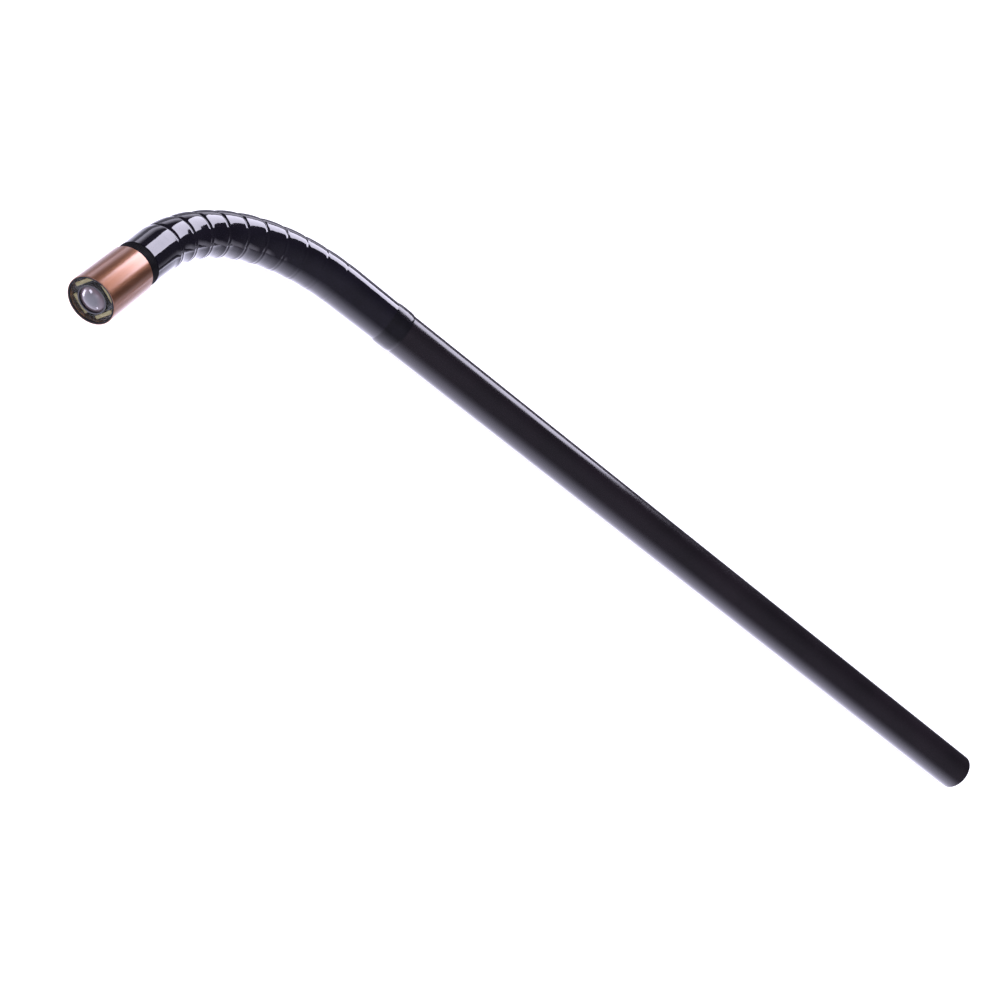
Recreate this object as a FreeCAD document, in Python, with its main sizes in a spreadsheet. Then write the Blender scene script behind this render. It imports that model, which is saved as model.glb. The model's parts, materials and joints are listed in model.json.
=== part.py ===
import FreeCAD, Part
import math
import os

import Sketcher

# Articulating insertion tube of a video laryngoscope: a camera barrel on a chain of ten riveted
# hinges under a ribbed rubber, in front of a straight reinforced tube that ends in a plain cut.
# Millimetres and degrees. The origin is the centre of the cut end, +X runs along the straight tube
# towards the camera, +Z is up, along the hinge axes, and the chain bends towards +Y.

SIZES = (
    ("sheath_length", 110.3, "outer sheath, from the cut end to its front edge"),
    ("sheath_wall", 0.365, "polyurethane wall"),
    ("braid_wall", 0.14, "woven steel braid under the sheath"),
    ("braid_setback", 1.5, "front edge of the sheath back to that of the braid"),
    ("spiral_wall", 0.2, "flat steel spiral under the braid"),
    ("spiral_setback", 5.3, "front edge of the sheath back to that of the spiral"),
    ("layer_gap", 0.01, "play between layers that lie in each other"),
    ("hinge_lead", 9.2, "front edge of the sheath to the rearmost hinge axis"),
    ("link_pitch", 2.9, "distance between neighbouring hinge axes"),
    ("link_radius", 2.1, "outside of a vertebra"),
    ("link_wall", 0.16, "wall of a vertebra"),
    ("ear_radius", 0.62, "round ear that carries a rivet"),
    ("ear_play", 0.06, "gap between an outer ear and the ear stepped in under it"),
    ("step_start", 0.72, "hinge axis to the start of the step between ear and wall"),
    ("step_run", 0.23, "length of that step"),
    ("tab_length", 1.35, "hinge axis to the end of the stepped tab"),
    ("ring_rear", 0.7, "hinge axis to the rear edge of a vertebra's ring"),
    ("ring_front", 0.5, "front edge of a vertebra's ring to the next hinge axis"),
    ("rivet_radius", 0.22, "rivet shank"),
    ("rivet_play", 0.04, "radial running clearance of the shank"),
    ("rivet_stand", 0.05, "how far a rivet's flattened ends stand out of its two ears"),
    ("guide_width", 0.9, "folded wire guide inside a vertebra, across"),
    ("guide_wall", 0.16, "strip that the guide is folded from"),
    ("guide_length", 0.6, "wire guide, along the tube"),
    ("guide_sink", 0.01, "how far a guide's outer side lies in the wall that it is welded to"),
    ("wire_radius", 0.18, "pull wire"),
    ("wire_bead_radius", 0.34, "brazed bead that ends a pull wire"),
    ("wire_bead_length", 0.6, "length of that bead"),
    ("conduit_radius", 0.42, "wire conduit, outside"),
    ("conduit_bore", 0.24, "wire conduit, bore radius"),
    ("conduit_setback", 2.2, "rearmost hinge axis back to the front of the wire conduits"),
    ("cable_radius", 0.75, "camera cable"),
    ("collar_step", 0.19, "collars that the rubber is pulled over, out from the link radius"),
    ("rubber_play", 0.02, "collar to the bore of the rubber"),
    ("rubber_wall", 0.5, "bending rubber at the crest of a rib"),
    ("rubber_rear_wall", 0.39, "bending rubber at its end under the rear binding"),
    ("rubber_front_wall", 0.31, "bending rubber at its front end, behind the band"),
    ("rib_depth", 0.09, "depth of the groove between two ribs, at a hinge"),
    ("base_collar", 3.4, "length of the collar at the tube end of the rubber"),
    ("tail_step", 0.09, "tail of the base connector, out from the link radius"),
    ("tail_play", 0.02, "tail of the base connector to the bore of the braid"),
    ("base_tail_gap", 0.1, "front edge of the spiral to the base connector"),
    ("rear_binding_setback", 1.3, "front edge of the sheath back to the rear binding's rear edge"),
    ("rear_binding_length", 2.6, "thread and epoxy binding at the tube"),
    ("rear_binding_wall", 0.15, "thickness of that binding at its crown"),
    ("binding_edge", 0.05, "thickness of that binding at its two edges"),
    ("tip_length", 14.0, "foremost hinge axis to the front face of the camera barrel"),
    ("barrel_length", 7.7, "camera barrel"),
    ("barrel_bore", 2.5, "camera barrel, bore radius"),
    ("barrel_wall", 0.25, "wall of the camera barrel"),
    ("barrel_chamfer", 0.12, "bevel round the front edge of the barrel"),
    ("barrel_bore_chamfer", 0.05, "bevel inside the front edge"),
    ("barrel_rear_chamfer", 0.1, "bevel round the rear edge"),
    ("barrel_fit", 0.01, "play of the pieces inside the barrel"),
    ("front_binding_length", 1.4, "recessed band behind the barrel"),
    ("front_binding_wall", 0.29, "thickness of that band, over the collar"),
    ("tip_collar", 1.1, "length of the tip connector's collar under the rubber"),
    ("spigot_gap", 0.8, "tip connector in the barrel to the back of the sensor board"),
    ("lens_barrel_radius", 1.66, "lens barrel, outside"),
    ("lens_bezel_depth", 0.16, "front face back to the front of the lens barrel"),
    ("lens_radius", 1.5, "front lens"),
    ("lens_seat_depth", 1.1, "front face back to the flat of the front lens"),
    ("lens_rim_depth", 0.42, "front face back to the rim of the front lens"),
    ("lens_dome", 3.0, "radius of the front lens's dome"),
    ("lens_play", 0.01, "play of a lens in the lens barrel"),
    ("inner_bore", 1.15, "lens barrel, narrow bore radius"),
    ("inner_lens_front", 2.3, "front face back to the front rim of the inner lens"),
    ("inner_lens_edge", 0.6, "rim of the inner lens"),
    ("inner_lens_dome", 2.6, "radius of both faces of the inner lens"),
    ("flange_depth", 3.6, "front face back to the lens barrel's rear flange"),
    ("sensor_size", 2.5, "side of the square image sensor"),
    ("sensor_thickness", 0.5, "image sensor"),
    ("sensor_play", 0.05, "play round the sensor in its pocket"),
    ("board_depth", 5.6, "front face back to the sensor board"),
    ("board_thickness", 0.4, "sensor board"),
    ("window_depth", 0.12, "front face back to the clear window"),
    ("window_thickness", 0.38, "clear window round the lens"),
    ("led_length", 2.3, "light chip, along the side of the square that the four make"),
    ("led_width", 0.42, "light chip, outwards"),
    ("led_height", 0.3, "light chip, off its board"),
    ("led_gap", 0.09, "lens barrel to the inner side of a chip"),
    ("led_turn_angle", 70.0, "degrees that the square of chips is turned about the barrel"),
    ("led_board_depth", 0.82, "front face back to the light board"),
    ("led_board_thickness", 0.38, "light board"),
    ("bend_rear_angle", 6.7, "degrees at the rearmost hinge, as it lies"),
    ("bend_front_angle", 8.6, "degrees at the foremost hinge, as it lies"),
)
HINGES = 10
RIVET_SIDES = 12  # sides that stand for a circle on the small rivets
SPARE_SHARE = 0.22  # of the pitch: how far a stretch of the bend runs past its hinge before it is mitred

doc = FreeCAD.newDocument("insertion_tube")
sheet = doc.addObject("Spreadsheet::Sheet", "sizes")
for row, (alias, number, note) in enumerate(SIZES, start=1):
    sheet.set(f"A{row}", alias)
    sheet.set(f"B{row}", str(number))
    sheet.setAlias(f"B{row}", alias)
    sheet.set(f"C{row}", note)
doc.recompute()


class Size:
    """A size from the sheet, or one worked out from several: its expression and its value now."""

    def __init__(self, text, value):
        self.text = text
        self.value = value

    def __add__(self, other):
        other = as_size(other)
        return Size(f"({self.text} + {other.text})", self.value + other.value)

    def __sub__(self, other):
        other = as_size(other)
        return Size(f"({self.text} - {other.text})", self.value - other.value)

    def __mul__(self, other):
        other = as_size(other)
        return Size(f"({self.text} * {other.text})", self.value * other.value)

    def __truediv__(self, other):
        other = as_size(other)
        return Size(f"({self.text} / {other.text})", self.value / other.value)

    def __neg__(self):
        return Size(f"(-1 * {self.text})", -self.value)


def as_size(item):
    return item if isinstance(item, Size) else Size(repr(float(item)), float(item))


def size(alias):
    return Size(f"{sheet.Name}.{alias}", float(sheet.get(alias)))


ZERO = as_size(0)
REACH = size("link_radius") * 2  # half width of the tools that cut right through a round piece
FIRST_HINGE = size("sheath_length") + size("hinge_lead")
TAIL_RADIUS = size("link_radius") + size("tail_step")
COLLAR_RADIUS = size("link_radius") + size("collar_step")
RUBBER_BORE = COLLAR_RADIUS + size("rubber_play")
BRAID_BORE = TAIL_RADIUS + size("tail_play")
SHEATH_BORE = BRAID_BORE + size("braid_wall") + size("layer_gap")
SHEATH_RADIUS = SHEATH_BORE + size("sheath_wall")
WIRE_OFFSET = size("link_radius") - size("link_wall") - size("guide_width") / 2 + size("guide_sink")
PLACES = {"x": "Placement.Base.x", "y": "Placement.Base.y", "z": "Placement.Base.z"}
PARTS = {}


def bind(thing, **settings):
    """Ties properties to sizes; x, y and z stand for the place."""
    for name, item in settings.items():
        thing.setExpression(PLACES.get(name, name), as_size(item).text)
    return thing


def keep(node, thing, frame=None):
    """Names a finished sub-part, and moves it from its own frame to where it lies."""
    thing.Label = node
    if frame is not None:
        thing.Placement = frame
    PARTS[node] = thing
    return thing


def outline(sketch, points, arcs=None):
    """A closed outline through the points, counter-clockwise. arcs gives the radius of each edge
    that bulges outwards."""
    arcs = arcs or {}
    count = len(points)
    places = [FreeCAD.Vector(across.value, up.value, 0) for across, up in points]
    for index, start in enumerate(places):
        end = places[(index + 1) % count]
        if index in arcs:
            sketch.addGeometry(bulge(start, end, arcs[index].value), False)
        else:
            sketch.addGeometry(Part.LineSegment(start, end), False)
    for index in range(count):
        sketch.addConstraint(Sketcher.Constraint("Coincident", index, 2, (index + 1) % count, 1))
    for index, (across, up) in enumerate(points):
        for kind, axis, item in (("DistanceX", -2, across), ("DistanceY", -1, up)):
            if item is ZERO:
                sketch.addConstraint(Sketcher.Constraint("PointOnObject", index, 1, axis))
            else:
                hold(sketch, Sketcher.Constraint(kind, index, 1, item.value), item)
    for index, radius in arcs.items():
        hold(sketch, Sketcher.Constraint("Radius", index, radius.value), radius)
    return sketch


def bulge(start, end, radius):
    half = (end - start) * 0.5
    outwards = FreeCAD.Vector(half.y, -half.x, 0).normalize()
    rise = radius - math.sqrt(radius**2 - half.Length**2)
    return Part.Arc(start, start + half + outwards * rise, end)


def hold(sketch, constraint, item):
    number = sketch.addConstraint(constraint)
    sketch.setExpression(f"Constraints[{number}]", item.text)


def turned(name, points, arcs=None):
    """A body turned about X from its outline of (along, radius) points."""
    body = doc.addObject("PartDesign::Body", name)
    plane = next(f for f in body.Origin.OriginFeatures if f.Role == "XY_Plane")
    sketch = body.newObject("Sketcher::SketchObject", f"{name}_outline")
    sketch.AttachmentSupport = [(plane, "")]
    sketch.MapMode = "FlatFace"
    outline(sketch, points, arcs)
    turn = body.newObject("PartDesign::Revolution", f"{name}_turn")
    turn.Profile = sketch
    turn.ReferenceAxis = (sketch, ["H_Axis"])
    turn.Angle = 360
    return body


def tube(name, start, end, bore, radius):
    if bore is ZERO:
        return turned(name, [(start, ZERO), (end, ZERO), (end, radius), (start, radius)])
    return turned(name, [(start, bore), (end, bore), (end, radius), (start, radius)])


def upright(name, across, radius):
    """A cylinder along the hinge axis, through everything."""
    disk = doc.addObject("Part::Cylinder", name)
    return bind(disk, Radius=radius, Height=REACH * 2, x=across, z=-REACH)


def rod(name, start, end, offset, radius):
    """A cylinder along the tube."""
    bar = doc.addObject("Part::Cylinder", name)
    bar.Placement.Rotation = FreeCAD.Rotation(FreeCAD.Vector(0, 1, 0), 90)
    return bind(bar, Radius=radius, Height=end - start, x=start, y=offset)


def block(name, start, end, near, far, half_height):
    box = doc.addObject("Part::Box", name)
    bind(box, Length=end - start, Width=far - near, Height=half_height * 2)
    return bind(box, x=start, y=near, z=-half_height)


def slab(name, start, end, half_width):
    """A block between two places along the tube, through everything along the hinge axis."""
    return block(name, start, end, -half_width, half_width, REACH)


def joined(kind, name, shapes):
    thing = doc.addObject(kind, name)
    thing.Shapes = shapes
    return thing


def cut(name, base, tool):
    thing = doc.addObject("Part::Cut", name)
    thing.Base = base
    thing.Tool = tool
    return thing


def link(name, wall, start, end, rear_ears, front_ears, guides):
    """A ring of the chain. wall is the turned tube that it is cut from, start and end are its
    hinge axes or plain edges. Front ears stand out to the next hinge, rear ears are stepped in
    under the neighbour's, and a pair of guides leads the wires."""
    ear = size("ear_radius")
    rear_edge = start + size("ring_rear") if rear_ears else start
    front_edge = end - size("ring_front") if front_ears else end
    plan = [slab(f"{name}_plan", rear_edge, front_edge, REACH)]
    if front_ears:
        plan.append(upright(f"{name}_ear", end, ear))
        plan.append(slab(f"{name}_neck", front_edge - ear, end, ear))
        plan = [joined("Part::MultiFuse", f"{name}_eared", plan)]
    solids = [joined("Part::MultiCommon", f"{name}_ring", [wall] + plan)]
    if rear_ears:
        solids.append(stepped_ears(name, start))
    hinges = [place for there, place in ((rear_ears, start), (front_ears, end)) if there]
    hole_radius = size("rivet_radius") + size("rivet_play")
    holes = [upright(f"{name}_hole_{k}", place, hole_radius) for k, place in enumerate(hinges)]
    if guides:
        rings, slots = wire_guides(name, start)
        solids += rings
        holes += slots
    whole = solids[0] if len(solids) == 1 else joined("Part::MultiFuse", f"{name}_solid", solids)
    tool = holes[0] if len(holes) == 1 else joined("Part::MultiFuse", f"{name}_holes", holes)
    return cut(name, whole, tool)


def wire_guides(name, start):
    """A loop of folded strip on each side, welded inside the ring, and the slot through it."""
    half = size("guide_width") / 2
    half_slot = half - size("guide_wall")
    guide_start = start + (size("link_pitch") - size("guide_length")) / 2
    guide_end = guide_start + size("guide_length")
    loops, slots = [], []
    for side, middle in (("inner", WIRE_OFFSET), ("outer", -WIRE_OFFSET)):
        for kind, reach, made in (("guide", half, loops), ("slot", half_slot, slots)):
            place = (guide_start, guide_end, middle - reach, middle + reach, reach)
            made.append(block(f"{name}_{kind}_{side}", *place))
    return loops, slots


def stepped_ears(name, hinge):
    """The pair of rear ears: a layer under the wall, and the step that joins the two."""
    ear, wall = size("ear_radius"), size("link_wall")
    under = size("link_radius") - wall - size("ear_play")
    step_out = hinge + size("step_start") + size("step_run")
    tab_end = hinge + size("tab_length")
    layer = turned(f"{name}_step", [
        (hinge - ear, under - wall), (hinge + size("step_start") + wall, under - wall),
        (step_out + wall, under + size("ear_play")), (tab_end, under + size("ear_play")),
        (tab_end, size("link_radius")), (step_out, size("link_radius")),
        (hinge + size("step_start"), under), (hinge - ear, under),
    ])
    disk = upright(f"{name}_step_ear", hinge, ear)
    tab = slab(f"{name}_step_tab", hinge, tab_end, ear)
    plan = joined("Part::MultiFuse", f"{name}_step_plan", [disk, tab])
    return joined("Part::MultiCommon", f"{name}_step_ears", [layer, plan])


def rest_bend(hinge):
    """Degrees at a hinge as the part lies, for hinges 1 at the tube to HINGES at the camera."""
    rear, front = size("bend_rear_angle").value, size("bend_front_angle").value
    return rear + (front - rear) * (hinge - 1) / (HINGES - 1)


def chain_frames():
    """The frames of the tube and of each link, with their origins at the hinge behind them."""
    heading = 0.0
    place = FreeCAD.Vector(FIRST_HINGE.value, 0, 0)
    frames = [FreeCAD.Placement(place, FreeCAD.Rotation())]
    for hinge in range(1, HINGES + 1):
        heading += rest_bend(hinge)
        frames.append(FreeCAD.Placement(place, FreeCAD.Rotation(heading, 0, 0)))
        ahead = FreeCAD.Vector(math.cos(math.radians(heading)), math.sin(math.radians(heading)), 0)
        place = place + ahead * size("link_pitch").value
    return frames


def along_bend(name, rear, middle, front):
    """One closed solid that follows the chain: a straight stretch in each link's frame, mitred
    with the next at the plane that halves the bend of their hinge."""
    far, reach = FIRST_HINGE.value * 2, REACH.value
    stretches = []
    for index, frame in enumerate(FRAMES):
        first, last = index == 0, index == HINGES
        solid = rear if first else front if last else middle
        start = -far if first else 0.0
        end = far if last else 0.0 if first else size("link_pitch").value
        lean_rear = 0.0 if first else reach * math.tan(math.radians(rest_bend(index) / 2))
        lean_front = 0.0 if last else reach * math.tan(math.radians(rest_bend(index + 1) / 2))
        points = [
            FreeCAD.Vector(start - lean_rear, -reach, -reach),
            FreeCAD.Vector(end + lean_front, -reach, -reach),
            FreeCAD.Vector(end - lean_front, reach, -reach),
            FreeCAD.Vector(start + lean_rear, reach, -reach),
        ]
        plan = Part.Face(Part.makePolygon(points + points[:1]))
        stretch = solid.common(plan.extrude(FreeCAD.Vector(0, 0, 2 * reach)))
        stretch.Placement = frame.multiply(stretch.Placement)
        stretches.append(stretch)
    thing = doc.addObject("Part::Feature", name)
    thing.Shape = stretches[0].multiFuse(stretches[1:]).Solids[0]
    return thing


def straight_stretches(rear_start, front_end, section):
    """Three stretches for along_bend, each a prism over a face that faces along the tube."""
    pitch = size("link_pitch").value
    spare = pitch * SPARE_SHARE
    solids = []
    for start, end in ((rear_start, spare), (-spare, pitch + spare), (-spare, front_end)):
        face = section.copy()
        face.translate(FreeCAD.Vector(start, 0, 0))
        solids.append(face.extrude(FreeCAD.Vector(end - start, 0, 0)))
    return solids


def round_section(radius):
    return Part.Face(Part.Wire(Part.makeCircle(radius, FreeCAD.Vector(), FreeCAD.Vector(1, 0, 0))))


def six_sided_section(radius, across):
    """The outline of a rope of six strands round a core."""
    corners = []
    for corner in range(7):
        angle = math.radians(60 * corner)
        corners.append(FreeCAD.Vector(0, across + radius * math.cos(angle), radius * math.sin(angle)))
    return Part.Face(Part.makePolygon(corners))


def ribbed_stretches(rear_start, front_end):
    """The rubber's three stretches: it rises from the groove at each hinge to a crest halfway
    along the link, and the two ends taper smoothly from the last crest on."""
    bore = RUBBER_BORE.value
    crest = bore + size("rubber_wall").value
    rear_radius = bore + size("rubber_rear_wall").value
    front_radius = bore + size("rubber_front_wall").value
    half = size("link_pitch").value / 2
    spare = 2 * half * SPARE_SHARE
    slope = size("rib_depth").value / half

    def revolved(profile):
        points = [FreeCAD.Vector(along, radius, 0) for along, radius in profile]
        face = Part.Face(Part.makePolygon(points + points[:1]))
        return face.revolve(FreeCAD.Vector(), FreeCAD.Vector(1, 0, 0), 360)

    valley, rib_end = crest - slope * (half + spare), 2 * half + spare
    return [
        revolved([(rear_start, bore), (spare, bore), (spare, valley), (-half, crest),
                  (rear_start, rear_radius)]),
        revolved([(-spare, bore), (rib_end, bore), (rib_end, valley), (half, crest), (-spare, valley)]),
        revolved([(-spare, bore), (front_end, bore), (front_end, front_radius), (half, crest),
                  (-spare, valley)]),
    ]


FRAMES = chain_frames()
TIP = FRAMES[HINGES]
FACE = size("tip_length")


def behind_face(depth):
    """The place along the tip's frame that lies a depth behind the front face."""
    return FACE - depth


def straight_tube():
    end = size("sheath_length")
    braid_end, spiral_end = end - size("braid_setback"), end - size("spiral_setback")
    braid_radius, spiral_radius = SHEATH_BORE - size("layer_gap"), BRAID_BORE - size("layer_gap")
    spiral_bore = spiral_radius - size("spiral_wall")
    keep("outer_sheath", tube("outer_sheath", ZERO, end, SHEATH_BORE, SHEATH_RADIUS))
    keep("tube_braid", tube("tube_braid", ZERO, braid_end, BRAID_BORE, braid_radius))
    keep("spiral_tube", tube("spiral_tube", ZERO, spiral_end, spiral_bore, spiral_radius))
    conduit_end = FIRST_HINGE - size("conduit_setback")
    for side, across in (("inner", WIRE_OFFSET), ("outer", -WIRE_OFFSET)):
        conduit = rod(f"conduit_{side}", ZERO, conduit_end, across, size("conduit_radius"))
        bore = rod(f"conduit_bore_{side}", ZERO, conduit_end, across, size("conduit_bore"))
        keep(f"wire_conduit_{side}", cut(f"wire_conduit_{side}", conduit, bore))


def base_connector():
    """The ring that joins the chain to the tube: a tail in the braid, a collar for the rubber and
    ears at the first hinge."""
    bore, radius = size("link_radius") - size("link_wall"), size("link_radius")
    tail = size("base_tail_gap") - size("spiral_setback") - size("hinge_lead")
    collar = size("layer_gap") - size("braid_setback") - size("hinge_lead")
    collar_end = collar + size("base_collar")
    tip = size("ear_radius") * 2
    wall = turned("base_wall", [
        (tail, bore), (tip, bore), (tip, radius), (collar_end, radius), (collar_end, COLLAR_RADIUS),
        (collar, COLLAR_RADIUS), (collar, TAIL_RADIUS), (tail, TAIL_RADIUS),
    ])
    keep("base_connector", link("base_connector", wall, tail, ZERO, False, True, False), FRAMES[0])


def vertebrae():
    pitch = size("link_pitch")
    bore = size("link_radius") - size("link_wall")
    wall = tube("vertebra_wall", ZERO, pitch + size("ear_radius") * 2, bore, size("link_radius"))
    model = link("vertebra", wall, ZERO, pitch, True, True, True)
    doc.recompute()
    for number in range(1, HINGES):
        copy = doc.addObject("Part::Feature", f"vertebra_{number:02d}")
        copy.Shape = model.Shape.copy()
        keep(f"vertebra_{number:02d}", copy, FRAMES[number])


def tip_connector():
    """The ring that joins the chain to the camera barrel: ears at the last hinge, a collar for
    the rubber and a spigot in the barrel."""
    bore, radius = size("link_radius") - size("link_wall"), size("link_radius")
    barrel_rear = behind_face(size("barrel_length"))
    band_rear = barrel_rear - size("front_binding_length")
    collar = band_rear - size("tip_collar")
    spigot_radius = size("barrel_bore") - size("barrel_fit")
    end = behind_face(size("board_depth") + size("board_thickness") + size("spigot_gap"))
    wall = turned("tip_wall", [
        (ZERO, bore), (end, bore), (end, spigot_radius), (barrel_rear, spigot_radius),
        (barrel_rear, COLLAR_RADIUS), (collar, COLLAR_RADIUS), (collar, radius), (ZERO, radius),
    ])
    keep("tip_connector", link("tip_connector", wall, ZERO, end, True, False, True), TIP)


def hinge_pins():
    """A rivet over and a rivet under the tube at each hinge, through an outer and an inner ear."""
    outer = size("link_radius") + size("rivet_stand")
    inner = size("link_radius") - size("link_wall") * 2 - size("ear_play") - size("rivet_stand")
    pair = []
    for side, foot in (("over", inner), ("under", -outer)):
        pin = doc.addObject("Part::Prism", f"rivet_{side}")
        pin.Polygon = RIVET_SIDES
        pair.append(bind(pin, Circumradius=size("rivet_radius"), Height=outer - inner, z=foot))
    doc.recompute()
    for hinge in range(1, HINGES + 1):
        pins = doc.addObject("Part::Feature", f"hinge_pins_{hinge:02d}")
        pins.Shape = Part.makeCompound([pin.Shape.copy() for pin in pair])
        place = FreeCAD.Placement(FRAMES[hinge].Base, FRAMES[hinge - 1].Rotation)
        keep(f"hinge_pins_{hinge:02d}", pins, place)


def pull_wires():
    """A wire on each side, from the cut end to a bead in front of the tip connector's guide."""
    bead_start = ((size("link_pitch") + size("guide_length")) / 2).value
    end = bead_start + size("wire_bead_length").value
    for side, across in (("inner", WIRE_OFFSET.value), ("outer", -WIRE_OFFSET.value)):
        section = six_sided_section(size("wire_radius").value, across)
        ropes = straight_stretches(-FIRST_HINGE.value, end, section)
        bead = Part.makeCylinder(size("wire_bead_radius").value, size("wire_bead_length").value,
                                 FreeCAD.Vector(bead_start, across, 0), FreeCAD.Vector(1, 0, 0))
        ropes[2] = ropes[2].fuse(bead)
        keep(f"pull_wire_{side}", along_bend(f"pull_wire_{side}", *ropes))


def camera_cable():
    board_rear = behind_face(size("board_depth") + size("board_thickness"))
    section = round_section(size("cable_radius").value)
    rods = straight_stretches(-FIRST_HINGE.value, board_rear.value, section)
    keep("camera_cable", along_bend("camera_cable", *rods))


def bending_rubber():
    front = behind_face(size("barrel_length") + size("front_binding_length"))
    stretches = ribbed_stretches(-size("hinge_lead").value, front.value)
    keep("bending_rubber", along_bend("bending_rubber", *stretches))


def bindings():
    start, bore = size("sheath_length") - size("rear_binding_setback"), SHEATH_RADIUS
    end = start + size("rear_binding_length")
    edge = bore + size("binding_edge")
    half, rise = size("rear_binding_length") / 2, size("rear_binding_wall") - size("binding_edge")
    crown = (half * half + rise * rise) / (rise * 2)
    keep("rear_binding", turned("rear_binding", [
        (start, bore), (end, bore), (end, edge), (start, edge),
    ], {2: crown}))
    rear = behind_face(size("barrel_length") + size("front_binding_length"))
    front = behind_face(size("barrel_length"))
    radius = COLLAR_RADIUS + size("front_binding_wall")
    keep("front_binding", tube("front_binding", rear, front, COLLAR_RADIUS, radius), TIP)


def camera_barrel():
    rear, bevel = behind_face(size("barrel_length")), size("barrel_chamfer")
    inner_bevel, rear_bevel = size("barrel_bore_chamfer"), size("barrel_rear_chamfer")
    bore = size("barrel_bore")
    radius = bore + size("barrel_wall")
    keep("camera_barrel", turned("camera_barrel", [
        (rear, bore), (FACE - inner_bevel, bore), (FACE, bore + inner_bevel),
        (FACE, radius - bevel), (FACE - bevel, radius), (rear + rear_bevel, radius),
        (rear, radius - rear_bevel),
    ]), TIP)


def lenses():
    fit, play = size("barrel_fit"), size("lens_play")
    bezel, seat = behind_face(size("lens_bezel_depth")), behind_face(size("lens_seat_depth"))
    flange, rear = behind_face(size("flange_depth")), behind_face(size("board_depth"))
    radius, flange_radius = size("lens_barrel_radius"), size("barrel_bore") - fit
    lens_bore, narrow = size("lens_radius") + play, size("inner_bore")
    holder = turned("lens_barrel_turned", [
        (rear, narrow), (seat, narrow), (seat, lens_bore), (bezel, lens_bore), (bezel, radius),
        (flange, radius), (flange, flange_radius), (rear, flange_radius),
    ])
    pocket_side = size("sensor_size") + size("sensor_play") * 2
    pocket = doc.addObject("Part::Box", "sensor_pocket")
    bind(pocket, Length=size("sensor_thickness"), Width=pocket_side, Height=pocket_side,
         x=rear, y=-(pocket_side / 2), z=-(pocket_side / 2))
    keep("lens_barrel", cut("lens_barrel", holder, pocket), TIP)

    rim = behind_face(size("lens_rim_depth"))
    dome, lens_radius = size("lens_dome"), size("lens_radius")
    apex = rim + sagitta(dome, lens_radius)
    keep("front_lens", turned("front_lens", [
        (seat, ZERO), (apex, ZERO), (rim, lens_radius), (seat, lens_radius),
    ], {1: dome}), TIP)

    dome, lens_radius = size("inner_lens_dome"), narrow - play
    front = behind_face(size("inner_lens_front"))
    back = front - size("inner_lens_edge")
    rise = sagitta(dome, lens_radius)
    keep("inner_lens", turned("inner_lens", [
        (back - rise, ZERO), (front + rise, ZERO), (front, lens_radius), (back, lens_radius),
    ], {1: dome, 3: dome}), TIP)


def sagitta(radius, reach):
    rise = radius.value - math.sqrt(radius.value**2 - reach.value**2)
    return Size(f"({radius.text} - sqrt({radius.text} ^ 2 - {reach.text} ^ 2))", rise)


def camera_boards():
    fit = size("barrel_fit")
    board_radius, hole = size("barrel_bore") - fit, size("lens_barrel_radius") + fit
    window_front = behind_face(size("window_depth"))
    window_rear = window_front - size("window_thickness")
    keep("front_window", tube("front_window", window_rear, window_front, hole, board_radius), TIP)
    led_board_front = behind_face(size("led_board_depth"))
    led_board_rear = led_board_front - size("led_board_thickness")
    keep("led_board", tube("led_board", led_board_rear, led_board_front, hole, board_radius), TIP)
    board_front = behind_face(size("board_depth"))
    board_rear = board_front - size("board_thickness")
    keep("sensor_board", tube("sensor_board", board_rear, board_front, ZERO, board_radius), TIP)

    side = size("sensor_size")
    sensor = doc.addObject("Part::Box", "image_sensor")
    bind(sensor, Length=size("sensor_thickness"), Width=side, Height=side)
    keep("image_sensor", sensor, TIP.multiply(offset(board_front, -(side / 2), -(side / 2))))


def offset(along, across, up):
    return FreeCAD.Placement(FreeCAD.Vector(along.value, across.value, up.value), FreeCAD.Rotation())


def light_chips():
    """Four chips along the sides of a square round the lens."""
    board_front = behind_face(size("led_board_depth"))
    inner_side = size("lens_barrel_radius") + size("led_gap")
    inwards = offset(board_front, inner_side, -(size("led_length") / 2))
    for number in range(4):
        angle = size("led_turn_angle").value + 90 * number
        turn = FreeCAD.Placement(FreeCAD.Vector(), FreeCAD.Rotation(FreeCAD.Vector(1, 0, 0), angle))
        chip = doc.addObject("Part::Box", f"led_chip_{number + 1}")
        bind(chip, Length=size("led_height"), Width=size("led_width"), Height=size("led_length"))
        keep(f"led_chip_{number + 1}", chip, TIP.multiply(turn).multiply(inwards))


def check_and_write():
    doc.recompute()
    for thing in doc.Objects:
        if "Invalid" in thing.State or "Error" in thing.State:
            raise RuntimeError(f"{thing.Name} did not build: {thing.State}")
    os.makedirs("parts", exist_ok=True)
    for node, thing in PARTS.items():
        shape = thing.Shape
        if shape.isNull() or not shape.isValid() or not shape.Solids:
            raise RuntimeError(f"{node} has no sound solid")
        shape.exportStep(os.path.join("parts", f"{node}.step"))
        print(f"{node}: {len(shape.Solids)} solid(s), {shape.Volume:.3f} mm3")


straight_tube()
base_connector()
vertebrae()
tip_connector()
hinge_pins()
pull_wires()
camera_cable()
bending_rubber()
bindings()
camera_barrel()
lenses()
camera_boards()
light_chips()
check_and_write()
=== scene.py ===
import json
import math

import bpy
from mathutils import Matrix, Vector

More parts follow.
